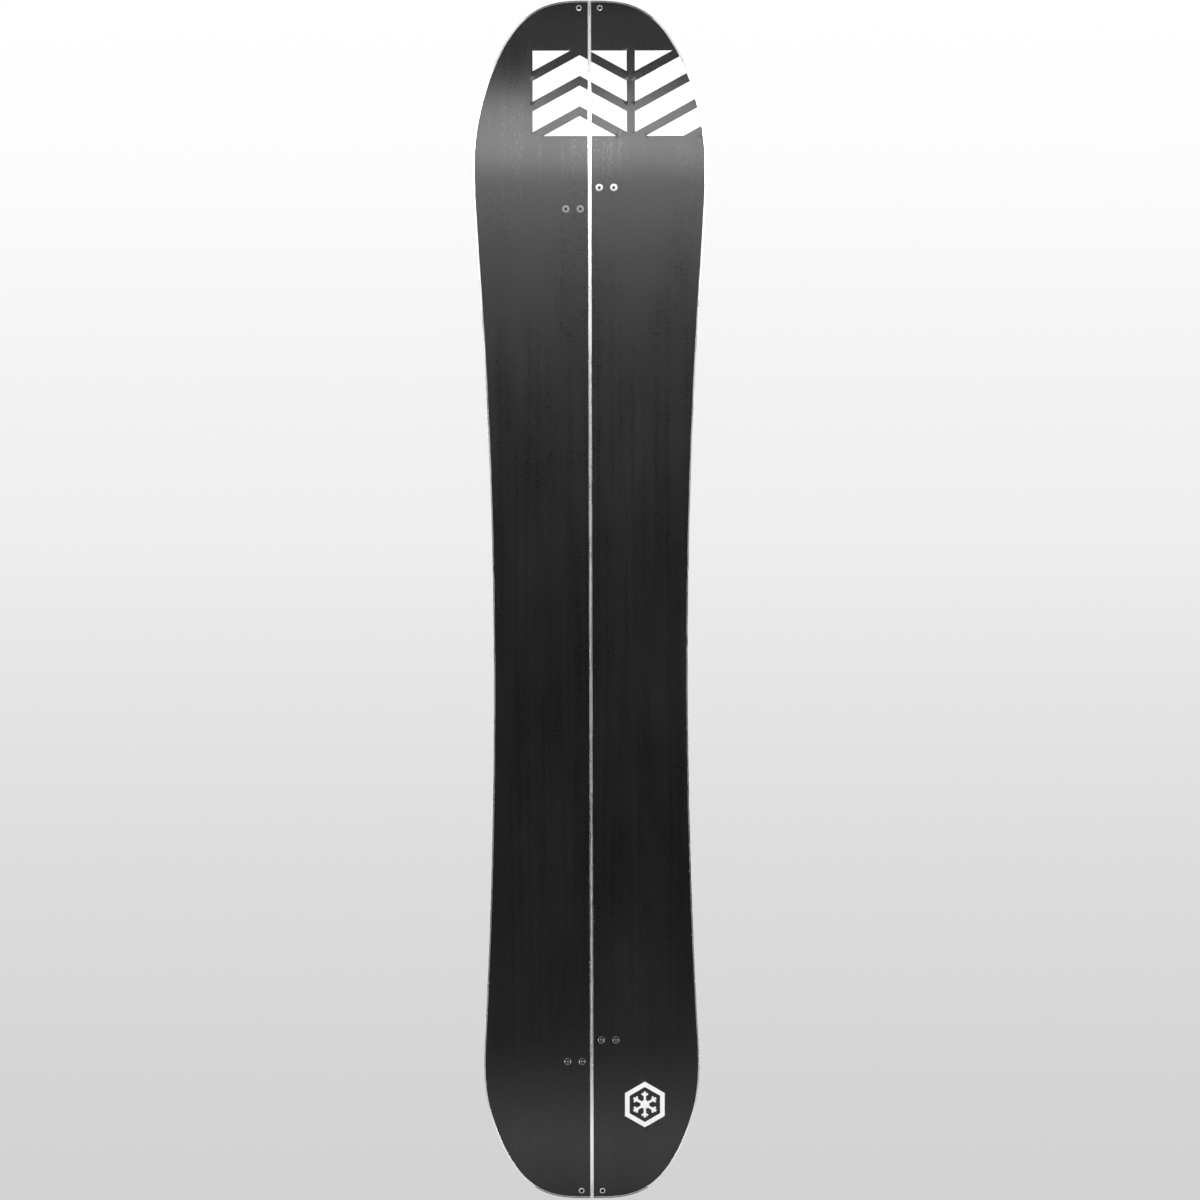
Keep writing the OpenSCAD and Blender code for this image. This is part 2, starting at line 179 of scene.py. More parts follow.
def refine(loop, step, closed=True):
    """The loop with long edges split, so that a surface can follow the board's profile."""
    out = []
    n = len(loop)
    for i in range(n if closed else n - 1):
        a, b = loop[i], loop[(i + 1) % n]
        k = max(1, int(math.ceil(math.hypot(b[0] - a[0], b[1] - a[1]) / step)))
        for j in range(k):
            t = j / k
            out.append((a[0] + (b[0] - a[0]) * t, a[1] + (b[1] - a[1]) * t))
    if not closed:
        out.append(loop[-1])
    return out


def inside(p, loop):
    x, y = p
    hit = False
    n = len(loop)
    j = n - 1
    for i in range(n):
        xi, yi = loop[i]
        xj, yj = loop[j]
        if (yi > y) != (yj > y) and x < (xj - xi) * (y - yi) / (yj - yi) + xi:
            hit = not hit
        j = i
    return hit


def clip_y(loop, lo, hi):
    """Cuts a loop to lo <= y <= hi (Sutherland-Hodgman)."""
    for sign, lim in ((1, lo), (-1, hi)):
        out = []
        for i in range(len(loop)):
            a, b = loop[i], loop[(i + 1) % len(loop)]
            ia, ib = sign * (a[1] - lim) >= 0, sign * (b[1] - lim) >= 0
            if ia:
                out.append(a)
            if ia != ib:
                t = (lim - a[1]) / (b[1] - a[1])
                out.append((a[0] + (b[0] - a[0]) * t, lim))
        loop = out
    return loop


def clip_x(loop, lo, hi):
    swapped = clip_y([(y, x) for x, y in loop], lo, hi)
    return [(y, x) for x, y in swapped]


# ------------------------------------------------------------------------------------------------ mesh makers
def new_mesh(name, verts, faces, body, smooth=True, angle=35.0, mats=()):
    me = bpy.data.meshes.new(name)
    me.from_pydata([(x * MM, y * MM, z * MM) for x, y, z in verts], [], faces)
    me.validate()
    me.update()
    ob = bpy.data.objects.new(name, me)
    scene.collection.objects.link(ob)
    if smooth:
        me.polygons.foreach_set("use_smooth", [True] * len(me.polygons))
        me.set_sharp_from_angle(angle=math.radians(angle))
    for m in mats:
        me.materials.append(m)
    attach(ob, body)
    return ob


def bevel(ob, width, segments=2, angle=40.0):
    m = ob.modifiers.new("round", "BEVEL")
    m.width = width * MM
    m.segments = segments
    m.limit_method = "ANGLE"
    m.angle_limit = math.radians(angle)
    m.harden_normals = False
    m.use_clamp_overlap = True
    m.miter_outer = "MITER_ARC"
    return m


def plate(side, loop, lo, hi, holes=(), marks=(), want=None, grid=(9.0, 6.0)):
    """A closed sheet between two levels. loop, holes and marks are in the half's own plane (x from the seam
    outwards); want(x, y) picks the triangles that belong to the sheet. Returns vertices and faces in the frame."""
    pts, edges, seen = [], [], {}

    def add(p):
        key = (round(p[0], 3), round(p[1], 3))
        if key not in seen:
            seen[key] = len(pts)
            pts.append(key)
        return seen[key]

    def add_loop(lp):
        ids = [add(p) for p in lp]
        for i in range(len(ids)):
            a, b = ids[i], ids[(i + 1) % len(ids)]
            if a != b:
                edges.append((a, b))

    border = refine(loop, 6.0)
    add_loop(border)
    for h in holes:
        add_loop(h)
    for m in marks:
        add_loop(refine(m, 6.0))
    xs = [p[0] for p in loop]
    y_lo, y_hi = min(p[1] for p in loop), max(p[1] for p in loop)
    nx = max(2, int((max(xs) - min(xs)) / grid[0]))
    ny = max(2, int((y_hi - y_lo) / grid[1]))
    shrunk = [(p[0], p[1]) for p in border]
    for j in range(1, ny):
        y = y_lo + (y_hi - y_lo) * j / ny
        # the loop's extent at this y, read off its edges
        cuts = []
        for i in range(len(shrunk)):
            a, b = shrunk[i], shrunk[(i + 1) % len(shrunk)]
            if (a[1] > y) != (b[1] > y):
                cuts.append(a[0] + (b[0] - a[0]) * (y - a[1]) / (b[1] - a[1]))
        if len(cuts) < 2:
            continue
        x0, x1 = min(cuts) + 2.0, max(cuts) - 2.0
        if x1 - x0 < 2:
            continue
        k = max(1, int((x1 - x0) / grid[0]))
        for i in range(k + 1):
            p = (x0 + (x1 - x0) * i / k, y)
            if any(math.hypot(p[0] - h[0][0], p[1] - h[0][1]) < 14 and min(math.hypot(p[0] - q[0], p[1] - q[1]) for q in h) < 1.2 for h in holes):
                continue
            add(p)
    v2, _, tris, _, _, _ = delaunay_2d_cdt([Vector(p) for p in pts], edges, [], 0, 1e-5)
    keep = []
    hole_loops = [(sum(p[0] for p in h) / len(h), sum(p[1] for p in h) / len(h), max(math.hypot(p[0] - h[0][0], p[1] - h[0][1]) for p in h) / 2, h) for h in holes]
    for t in tris:
        a, b, c = (v2[i] for i in t)
        cx, cy = (a[0] + b[0] + c[0]) / 3, (a[1] + b[1] + c[1]) / 3
        area = (b[0] - a[0]) * (c[1] - a[1]) - (b[1] - a[1]) * (c[0] - a[0])
        if abs(area) < 1e-7:
            continue
        if not inside((cx, cy), loop):
            continue
        if any(math.hypot(cx - hx, cy - hy) < hr * 1.01 and inside((cx, cy), h) for hx, hy, hr, h in hole_loops):
            continue
        if want and not want(side * cx, cy):
            continue
        keep.append(tuple(t) if area > 0 else (t[0], t[2], t[1]))
    used = sorted({i for t in keep for i in t})
    index = {v: k for k, v in enumerate(used)}
    n = len(used)
    verts = [(side * v2[v][0], v2[v][1], level(lo, v2[v][1])) for v in used]
    verts += [(side * v2[v][0], v2[v][1], level(hi, v2[v][1])) for v in used]
    faces = []
    count = {}
    for t in keep:
        for i in range(3):
            e = (t[i], t[(i + 1) % 3])
            count[e] = count.get(e, 0) + 1
    flip = side < 0
    for t in keep:
        a, b, c = (index[i] for i in t)
        top = (a + n, b + n, c + n)
        bottom = (a, c, b)
        faces.append(tuple(reversed(top)) if flip else top)
        faces.append(tuple(reversed(bottom)) if flip else bottom)
    for (i, j) in count:
        if (j, i) not in count:
            a, b = index[i], index[j]
            quad = (a, b, b + n, a + n)
            faces.append(tuple(reversed(quad)) if flip else quad)
    return verts, faces


def circle_loop(x, y, r, n=40):
    return [(x + r * math.cos(2 * math.pi * i / n), y + r * math.sin(2 * math.pi * i / n)) for i in range(n)]


def sweep(side, section, x0, y0=None, y1=None):
    """A bar along the outline. section is a closed list of (inset, level) corners, counter-clockwise seen along
    the path. The bar starts and ends on x = x0, or at y0 and y1."""
    insets = sorted({c[0] for c in section})
    rails = {}
    for d in insets:
        p = inset(d)
        if y0 is not None:
            q = []
            for i in range(len(p) - 1):
                a, b = p[i], p[i + 1]
                for y in (y0, y1):
                    if a[1] <= y < b[1]:
                        t = (y - a[1]) / (b[1] - a[1])
                        q.append((a[0] + (b[0] - a[0]) * t, y))
                if y0 < b[1] < y1:
                    q.append(b)
            rails[d] = q
        else:
            rails[d] = p
    if y0 is None:
        # walk all rails together, ending on x0
        ref = rails[insets[0]]
        idx = [i for i, p in enumerate(ref) if min(rails[d][i][0] for d in insets) > x0 + 0.3]
        first, last = idx[0], idx[-1]
        for d in insets:
            p = rails[d]

            def cross(i, j, p=p):
                a, b = p[i], p[j]
                t = (x0 - a[0]) / (b[0] - a[0]) if abs(b[0] - a[0]) > 1e-9 else 0.0
                return (x0, a[1] + (b[1] - a[1]) * t)

            rails[d] = [cross(first - 1, first)] + p[first : last + 1] + [cross(last + 1, last)]
    n = min(len(r) for r in rails.values())
    m = len(section)
    verts, faces = [], []
    for i in range(n):
        for d, lv in section:
            x, y = rails[d][i]
            verts.append((side * x, y, level(lv, y)))
    for i in range(n - 1):
        for k in range(m):
            a, b = i * m + k, i * m + (k + 1) % m
            quad = (a, b, b + m, a + m)
            faces.append(tuple(reversed(quad)) if side > 0 else quad)
    cap0, cap1 = tuple(range(m)), tuple((n - 1) * m + k for k in range(m))
    faces.append(cap0 if side > 0 else tuple(reversed(cap0)))
    faces.append(tuple(reversed(cap1)) if side > 0 else cap1)
    return verts, faces


def seam_bar(side, section, d_end, n=260):
    """A bar along the seam. section is a closed list of (x, level) corners. It ends on the outline inset by d_end."""
    verts, faces = [], []
    m = len(section)
    ends = {}
    for x in sorted({c[0] for c in section}):
        b = beyond(d_end, x)
        ends[x] = (b[0][1], b[-1][1])
    for i in range(n + 1):
        t = i / n
        for x, lv in section:
            a, b = ends[x]
            y = a + (b - a) * t
            verts.append((side * x, y, level(lv, y)))
    for i in range(n):
        for k in range(m):
            a, b = i * m + k, i * m + (k + 1) % m
            quad = (a, b, b + m, a + m)
            faces.append(quad if side > 0 else tuple(reversed(quad)))
    cap0, cap1 = tuple(range(m)), tuple(n * m + k for k in range(m))
    faces.append(tuple(reversed(cap0)) if side > 0 else cap0)
    faces.append(cap1 if side > 0 else tuple(reversed(cap1)))
    return verts, faces


# ------------------------------------------------------------------------------------------------ materials
def material(name, color, rough, metallic=0.0):
    m = bpy.data.materials.new(name)
    m.use_nodes = True
    b = m.node_tree.nodes["Principled BSDF"]
    b.inputs["Base Color"].default_value = (*color, 1)
    b.inputs["Roughness"].default_value = rough
    b.inputs["Metallic"].default_value = metallic
    return m, m.node_tree, b


def node(nt, kind, **props):
    n = nt.nodes.new(kind)
    for k, v in props.items():
        setattr(n, k, v)
    return n


def coords(nt, scale=(1, 1, 1), loc=(0, 0, 0)):
    tc = node(nt, "ShaderNodeTexCoord")
    mp = node(nt, "ShaderNodeMapping")
    mp.inputs["Scale"].default_value = scale
    mp.inputs["Location"].default_value = loc
    nt.links.new(tc.outputs["Object"], mp.inputs["Vector"])
    return mp.outputs["Vector"]


def noise(nt, vec, scale, detail=3.0, rough=0.55):
    n = node(nt, "ShaderNodeTexNoise")
    n.inputs["Scale"].default_value = scale
    n.inputs["Detail"].default_value = detail
    n.inputs["Roughness"].default_value = rough
    nt.links.new(vec, n.inputs["Vector"])
    return n.outputs["Fac"]


def ramp(nt, fac, stops):
    r = node(nt, "ShaderNodeValToRGB")
    el = r.color_ramp.elements
    while len(el) > 1:
        el.remove(el[-1])
    el[0].position, el[0].color = stops[0][0], stops[0][1]
    for pos, col in stops[1:]:
        e = el.new(pos)
        e.color = col
    nt.links.new(fac, r.inputs["Fac"])
    return r.outputs["Color"]


def mix(nt, fac, a, b, kind="MIX"):
    m = node(nt, "ShaderNodeMix", data_type="RGBA", blend_type=kind)
    if isinstance(fac, (int, float)):
        m.inputs[0].default_value = fac
    else:
        nt.links.new(fac, m.inputs[0])
    for sock, v in ((6, a), (7, b)):
        if isinstance(v, tuple):
            m.inputs[sock].default_value = v
        else:
            nt.links.new(v, m.inputs[sock])
    return m.outputs[2]


def math_node(nt, op, a, b=None, clamp_it=False):
    m = node(nt, "ShaderNodeMath", operation=op)
    m.use_clamp = clamp_it
    for i, v in enumerate((a, b)):
        if v is None:
            continue
        if isinstance(v, (int, float)):
            m.inputs[i].default_value = v
        else:
            nt.links.new(v, m.inputs[i])
    return m.outputs[0]


def remap(nt, fac, a, b, c, d):
    m = node(nt, "ShaderNodeMapRange")
    for i, v in enumerate((None, a, b, c, d)):
        if v is not None:
            m.inputs[i].default_value = v
    nt.links.new(fac, m.inputs[0])
    return m.outputs[0]


def bump(nt, b, height, strength, distance):
    bn = node(nt, "ShaderNodeBump")
    bn.inputs["Strength"].default_value = strength
    bn.inputs["Distance"].default_value = distance
    nt.links.new(height, bn.inputs["Height"])
    nt.links.new(bn.outputs["Normal"], b.inputs["Normal"])
    return bn


def grey(v):
    return (v, v, v, 1.0)


def base_material(name, tone, white=False):
    """Sintered base: ground with a fine lengthwise structure, waxed, with faint scuffs along the running direction."""
    m, nt, b = material(name, (tone, tone, tone * 1.02), 0.4)
    fine = noise(nt, coords(nt, (1400, 28, 1)), 1.0, 4.0, 0.6)
    streak = noise(nt, coords(nt, (160, 2.2, 1), (3.1, 0, 0)), 1.0, 3.0, 0.55)
    cloud = noise(nt, coords(nt, (14, 4.5, 1), (7.7, 1, 0)), 1.0, 4.0, 0.6)
    speck = noise(nt, coords(nt, (420, 260, 1), (0.3, 5, 0)), 1.0, 2.0, 0.5)
    scuff = noise(nt, coords(nt, (260, 9, 1), (1.4, 9, 0)), 1.0, 5.0, 0.75)
    if white:
        lo, hi = tone * 0.965, tone * 1.02
    else:
        lo, hi = tone * 0.72, tone * 1.35
    tint = ramp(nt, mix(nt, 0.5, streak, cloud), [(0.32, (lo, lo, lo * 1.02, 1)), (0.7, (hi, hi, hi * 1.02, 1))])
    marks = ramp(nt, speck, [(0.74, grey(0)), (0.8, grey(1))])
    lines = ramp(nt, scuff, [(0.66, grey(0)), (0.8, grey(1))])
    light = tone * 0.93 if white else tone * 2.6
    col = mix(nt, math_node(nt, "MULTIPLY", marks, 0.35), tint, grey(light))
    col = mix(nt, math_node(nt, "MULTIPLY", lines, 0.3), col, grey(light))
    nt.links.new(col, b.inputs["Base Color"])
    mottle = noise(nt, coords(nt, (520, 300, 1), (2.2, 3, 0)), 1.0, 3.0, 0.65)
    rg = remap(nt, mix(nt, 0.62, streak, cloud), 0.3, 0.72, 0.26, 0.37)
    rg = math_node(nt, "ADD", rg, remap(nt, mottle, 0.3, 0.7, -0.05, 0.05))
    rg = math_node(nt, "ADD", rg, math_node(nt, "MULTIPLY", lines, 0.02))
    nt.links.new(rg, b.inputs["Roughness"])
    b.inputs["Specular IOR Level"].default_value = 0.5
    bump(nt, b, mix(nt, 0.75, fine, mottle), 0.22, 0.00016)
    return m


def steel_material(name, tone, rough, along="y", grain=0.25):
    """Ground steel with fine lines along the bar, small stains and worn patches."""
    m, nt, b = material(name, (tone, tone, tone * 1.01), rough, 1.0)
    scale = (2600, 60, 2600) if along == "y" else (900, 900, 900)
    g = noise(nt, coords(nt, scale), 1.0, 3.0, 0.6)
    stain = noise(nt, coords(nt, (70, 16, 70), (2, 3, 0)), 1.0, 4.0, 0.65)
    col = ramp(nt, stain, [(0.3, grey(tone * 0.84)), (0.62, grey(tone))])
    nt.links.new(col, b.inputs["Base Color"])
    nt.links.new(remap(nt, mix(nt, 0.5, g, stain), 0.25, 0.75, rough - 0.08, rough + 0.12), b.inputs["Roughness"])
    bump(nt, b, g, grain, 0.00003)
    return m


def plastic_material(name, color, rough, scale=900, depth=0.00004, strength=0.3):
    m, nt, b = material(name, color, rough)
    g = noise(nt, coords(nt, (scale, scale, scale)), 1.0, 3.0, 0.6)
    cloud = noise(nt, coords(nt, (30, 8, 30), (1, 2, 3)), 1.0, 4.0, 0.6)
    lo = tuple(c * 0.82 for c in color) + (1,)
    hi = tuple(min(1, c * 1.15) for c in color) + (1,)
    nt.links.new(ramp(nt, cloud, [(0.3, lo), (0.7, hi)]), b.inputs["Base Color"])
    nt.links.new(remap(nt, mix(nt, 0.5, g, cloud), 0.3, 0.7, rough - 0.06, rough + 0.08), b.inputs["Roughness"])
    bump(nt, b, g, strength, depth)
    return m


def laminate_material(name):
    """Edge of a cured glass laminate: greenish resin with pale layered fibres."""
    m, nt, b = material(name, (0.3, 0.33, 0.22), 0.45)
    fib = noise(nt, coords(nt, (90, 90, 5200)), 1.0, 3.0, 0.6)
    nt.links.new(ramp(nt, fib, [(0.3, (0.13, 0.15, 0.10, 1)), (0.7, (0.42, 0.45, 0.33, 1))]), b.inputs["Base Color"])
    bump(nt, b, fib, 0.3, 0.00004)
    return m


def wood_material(name):
    m, nt, b = material(name, (0.5, 0.34, 0.19), 0.6)
    strips = node(nt, "ShaderNodeTexWave", wave_type="BANDS", bands_direction="X")
    strips.inputs["Scale"].default_value = 8
    strips.inputs["Distortion"].default_value = 0.3
    nt.links.new(coords(nt), strips.inputs["Vector"])
    grain = noise(nt, coords(nt, (500, 14, 300)), 1.0, 5.0, 0.6)
    a = ramp(nt, grain, [(0.3, (0.36, 0.22, 0.11, 1)), (0.7, (0.62, 0.44, 0.26, 1))])
    nt.links.new(mix(nt, math_node(nt, "MULTIPLY", strips.outputs["Fac"], 0.25), a, (0.66, 0.5, 0.33, 1)), b.inputs["Base Color"])
    bump(nt, b, grain, 0.25, 0.00008)
    return m


def topsheet_material(name):
    """Satin dark topsheet: fine woven texture under the lacquer, broad slanting bands at nose and tail."""
    m, nt, b = material(name, (0.04, 0.045, 0.05), 0.42)
    tc = node(nt, "ShaderNodeTexCoord")
    sep = node(nt, "ShaderNodeSeparateXYZ")
    nt.links.new(tc.outputs["Object"], sep.inputs["Vector"])
    x, y = sep.outputs["X"], sep.outputs["Y"]
    ax = math_node(nt, "ABSOLUTE", x)
    v = math_node(nt, "SUBTRACT", y, math_node(nt, "MULTIPLY", ax, 0.55))
    phase = math_node(nt, "FRACT", math_node(nt, "MULTIPLY", v, 1 / 0.06))
    band = math_node(nt, "LESS_THAN", phase, 0.62)
    nose = math_node(nt, "MULTIPLY", math_node(nt, "GREATER_THAN", v, -0.735), math_node(nt, "LESS_THAN", v, -0.566))
    tail = math_node(nt, "MULTIPLY", math_node(nt, "GREATER_THAN", v, 0.594), math_node(nt, "LESS_THAN", v, 0.644))
    zone = math_node(nt, "MULTIPLY", band, math_node(nt, "ADD", nose, tail, True))
    weave = noise(nt, coords(nt, (2200, 2200, 100)), 1.0, 2.0, 0.5)
    cloud = noise(nt, coords(nt, (9, 4, 9), (4, 2, 1)), 1.0, 4.0, 0.6)
    dark = ramp(nt, cloud, [(0.3, (0.026, 0.029, 0.033, 1)), (0.7, (0.036, 0.04, 0.045, 1))])
    lite = ramp(nt, cloud, [(0.3, (0.30, 0.31, 0.32, 1)), (0.7, (0.36, 0.37, 0.38, 1))])
    nt.links.new(mix(nt, zone, dark, lite), b.inputs["Base Color"])
    nt.links.new(remap(nt, mix(nt, 0.5, weave, cloud), 0.3, 0.7, 0.36, 0.48), b.inputs["Roughness"])
    b.inputs["Coat Weight"].default_value = 0.25
    b.inputs["Coat Roughness"].default_value = 0.25
    bump(nt, b, weave, 0.18, 0.00005)
    return m


M = {
    "base_black": base_material("base_black", 0.0024),
    "base_white": base_material("base_white", 0.7, white=True),
    "edge_steel": steel_material("edge_steel", 0.78, 0.27, grain=0.1),
    "glass_laminate": laminate_material("glass_laminate"),
    "core_wood": wood_material("core_wood"),
    "abs_black": plastic_material("abs_black", (0.012, 0.012, 0.013), 0.5),
    "topsheet": topsheet_material("topsheet"),
    "hook_alloy": plastic_material("hook_alloy", (0.02, 0.02, 0.022), 0.38, 1600, 0.00003, 0.25),
    "screw_steel": steel_material("screw_steel", 0.42, 0.3, "all", 0.12),
    "nut_steel": steel_material("nut_steel", 0.52, 0.34, "all", 0.15),
    "washer_nylon": plastic_material("washer_nylon", (0.03, 0.03, 0.03), 0.5),
}
M["nut_bright"] = steel_material("nut_bright", 0.44, 0.36, "all", 0.15)
M["nut_clip"] = steel_material("nut_clip", 0.8, 0.34, "all", 0.15)
M["nut_dull"] = steel_material("nut_dull", 0.2, 0.42, "all", 0.3)
M["nut_dark"] = steel_material("nut_dark", 0.085, 0.4, "all", 0.4)
# near-black for the inside of the nuts' holes: painted shade where the steel would be in shadow
M["bore_painted_shade"] = plastic_material("bore_painted_shade", (0.004, 0.004, 0.004), 0.7)
M["hook_alloy"].node_tree.nodes["Principled BSDF"].inputs["Metallic"].default_value = 0.85

# ------------------------------------------------------------------------------------------------ base graphics
MX0, MX1, MY0, MY1, BX0 = -74.5, 48.8, -719.0, -607.0, 59.5
BAND, STEP, SLOPE = 27.0, 40.0, 0.55
XC, XW = (MX0 + MX1) / 2, (MX1 - MX0) / 2


def nose_polys():
    """The nose mark's convex pieces, in the board's own x and y."""
    out = []
    for i in range(4):
        v = MY0 - 34 + i * STEP
        for sgn in (-1, 1):
            q = [(XC, v), (XC + sgn * (XW + 5), v + SLOPE * (XW + 5)), (XC + sgn * (XW + 5), v + BAND + SLOPE * (XW + 5)), (XC, v + BAND)]
            q = clip_y(clip_x(q, MX0, MX1), MY0, MY1)
            if len(q) > 2:
                out.append(q)
    for i in range(5):
        v = MY0 + i * STEP
        q = [(BX0 - 5, v + SLOPE * 5), (180, v - SLOPE * (180 - BX0)), (180, v + BAND - SLOPE * (180 - BX0)), (BX0 - 5, v + BAND + SLOPE * 5)]
        q = clip_y(clip_x(q, BX0, 175), MY0, MY1)
        if len(q) > 2:
            out.append(q)
    return out


NOSE = nose_polys()
TAIL_X, TAIL_Y = 69.4, 662.0


def turn(p, deg, c=(TAIL_X, TAIL_Y)):
    a = math.radians(deg)
    return (c[0] + p[0] * math.cos(a) - p[1] * math.sin(a), c[1] + p[0] * math.sin(a) + p[1] * math.cos(a))


def hexagon(r, off):
    return [turn((r, 0), off + 60 * k) for k in range(6)]


HEX_OUT, HEX_IN, HEX_CORE = hexagon(30, 30), hexagon(23, 30), hexagon(6, 0)
ARMS = []
for k in range(6):
    a = 60 * k + 30
    ARMS.append([turn(p, a) for p in ((0, -1.6), (17, -1.6), (17, 1.6), (0, 1.6))])
    for tilt in (55, -55):
        c, s = math.cos(math.radians(tilt)), math.sin(math.radians(tilt))
        ARMS.append([turn((11.5 + u * c - w * s, u * s + w * c), a) for u, w in ((-1, -1.3), (5, -1.3), (5, 1.3), (-1, 1.3))])


def in_nose(x, y):
    return MY0 <= y <= MY1 and any(inside((x, y), q) for q in NOSE)


def in_tail(x, y):
    if math.hypot(x - TAIL_X, y - TAIL_Y) > 31:
        return False
    p = (x, y)
    if inside(p, HEX_OUT) and not inside(p, HEX_IN):
        return True
    return inside(p, HEX_CORE) or any(inside(p, a) for a in ARMS)


# ------------------------------------------------------------------------------------------------ board layers
HOOKS = (-525.2, 591.2)
HOOK_X = (12.5, 31.5)
CLIP_X, CLIP_Y = 13.7, (-HALF + 11.2, HALF - 11.2)
FEET = (-245.0, 315.0)
INSERTS = [(x, f + k) for f in FEET for x in (25.0, 65.0) for k in (-50, -30, -10, 10, 30, 50)]
INSERTS += [(x, -30.0 + k) for x in (26.0, 64.0) for k in (-19, 19)] + [(x, 215.0) for x in (26.0, 64.0)]


def hook_holes(side, r):
    return [circle_loop(x, yc - 14 * side, r) for yc in HOOKS for x in HOOK_X]


def clip_holes(r, lo, hi):
    """Holes square to the deck, so they shift along Y with depth: placed at the sheet's middle height."""
    out = []
    for y in CLIP_Y:
        a = deck_angle(y)
        mid = (level(lo, y) + level(hi, y)) / 2 - deck_z(y)
        out.append([(px, y - mid * math.tan(a) * 1.0 + (py - y)) for px, py in circle_loop(CLIP_X, y, r)])
    return out


for side, half in ((-1, "left"), (1, "right")):
    body = half + "_half"

    # base sheet and the white pieces let into it
    loop = beyond(EDGE_W + 0.02, GAP + EDGE_W + 0.02)
    holes = hook_holes(side, 5.0) + clip_holes(4.0, BASE, LA)
    marks = [[(side * x, y) for x, y in q] for q in NOSE]
    marks = [clip_x(q, GAP + EDGE_W + 0.05, 170) for q in marks]
    marks = [q for q in marks if len(q) > 2]
    if side > 0:
        marks += [HEX_OUT, HEX_IN, HEX_CORE] + ARMS

    def black(x, y, side=side):
        return not in_nose(x, y) and not (side > 0 and in_tail(x, y))

    v, f = plate(side, loop, BASE, LA, holes, marks, black)
    ob = new_mesh(half + "_base_sheet", v, f, body, mats=[M["base_black"]])
    bevel(ob, 0.1, 2, 60)
    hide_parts(half + "_base")
    v, f = plate(side, loop, BASE, LA, (), marks, in_nose)
    ob = new_mesh(half + "_nose_graphic", v, f, body, mats=[M["base_white"]])
    bevel(ob, 0.05, 1, 60)
    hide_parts(half + "_nose_inlay")
    if side > 0:
        v, f = plate(side, loop, BASE, LA, (), marks, in_tail)
        ob = new_mesh("right_tail_graphic", v, f, body, mats=[M["base_white"]])
        bevel(ob, 0.05, 1, 60)
        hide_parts("right_tail_inlay")

    # steel edges: a ground bead with small chamfers, and the flange that the laminate covers
    c = 0.02
    sec = [
        (0.0, (0, c)), (0.0, (0, EDGE_H)), (FLANGE_W, (0, EDGE_H)), (FLANGE_W, (0, BASE_T + 0.02)),
        (EDGE_W, (0, BASE_T + 0.02)), (EDGE_W, (0, 0.08)), (EDGE_W - 0.08, (0, 0.0)), (c, (0, 0.0)),
    ]
    v, f = sweep(side, sec, GAP + EDGE_W)
    ob = new_mesh(half + "_steel_edge_outer", v, f, body, mats=[M["edge_steel"]])
    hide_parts(half + "_outer_edge")
    sec = [
        (GAP, (0, c)), (GAP + c, (0, 0.0)), (GAP + EDGE_W - 0.08, (0, 0.0)), (GAP + EDGE_W, (0, 0.08)),
        (GAP + EDGE_W, (0, BASE_T + 0.02)), (GAP + FLANGE_W, (0, BASE_T + 0.02)), (GAP + FLANGE_W, (0, EDGE_H)), (GAP, (0, EDGE_H)),
    ]
    v, f = seam_bar(side, sec, 0.0)
    ob = new_mesh(half + "_steel_edge_inner", v, f, body, mats=[M["edge_steel"]])
    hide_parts(half + "_inner_edge")

    # side walls, machined with a slight crown
    sec = [
        (0.35, LC), (0.0, (0, EDGE_H + GLASS_LO + 0.5)), (0.0, (1, -GLASS_HI - TOP_T - 0.6)), (0.12, LD),
        (WALL_W, LD), (WALL_W, LC),
    ]
    v, f = sweep(side, sec, None, FILL0, FILL1)
    ob = new_mesh(half + "_wall_outer", v, f, body, mats=[M["abs_black"]])
    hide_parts(half + "_outer_sidewall")

    # laminates, tip and tail fills, topsheet
    flat_holes = [circle_loop(x, y, 4.5, 28) for x, y in INSERTS]
    full = beyond(0.0, GAP)
    v, f = plate(side, full, LB, LC, hook_holes(side, 3.0) + clip_holes(2.6, LB, LC))
    ob = new_mesh(half + "_glass_lower", v, f, body, mats=[M["glass_laminate"]])
    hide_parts(half + "_lower_laminate")
    v, f = plate(side, full, LD, LE, hook_holes(side, 3.0) + clip_holes(2.6, LD, LE) + flat_holes)
    ob = new_mesh(half + "_glass_upper", v, f, body, mats=[M["glass_laminate"]])
    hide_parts(half + "_upper_laminate")
    for part, y0, y1, cy in (("tip_fill", -900, FILL0, 0), ("tail_fill", FILL1, 900, 1)):
        lp = clip_y(full, y0, y1)
        v, f = plate(side, lp, LC, LD, [clip_holes(2.6, LC, LD)[cy]])
        ob = new_mesh(half + "_" + part.replace("fill", "spacer"), v, f, body, mats=[M["abs_black"]])
        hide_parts(half + "_" + part)
    v, f = plate(side, full, LE, DECK, hook_holes(side, 2.2) + clip_holes(2.2, LE, DECK) + flat_holes)
    ob = new_mesh(half + "_deck_sheet", v, f, body, mats=[M["topsheet"]])
    bevel(ob, 0.25, 3, 60)
    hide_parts(half + "_topsheet")

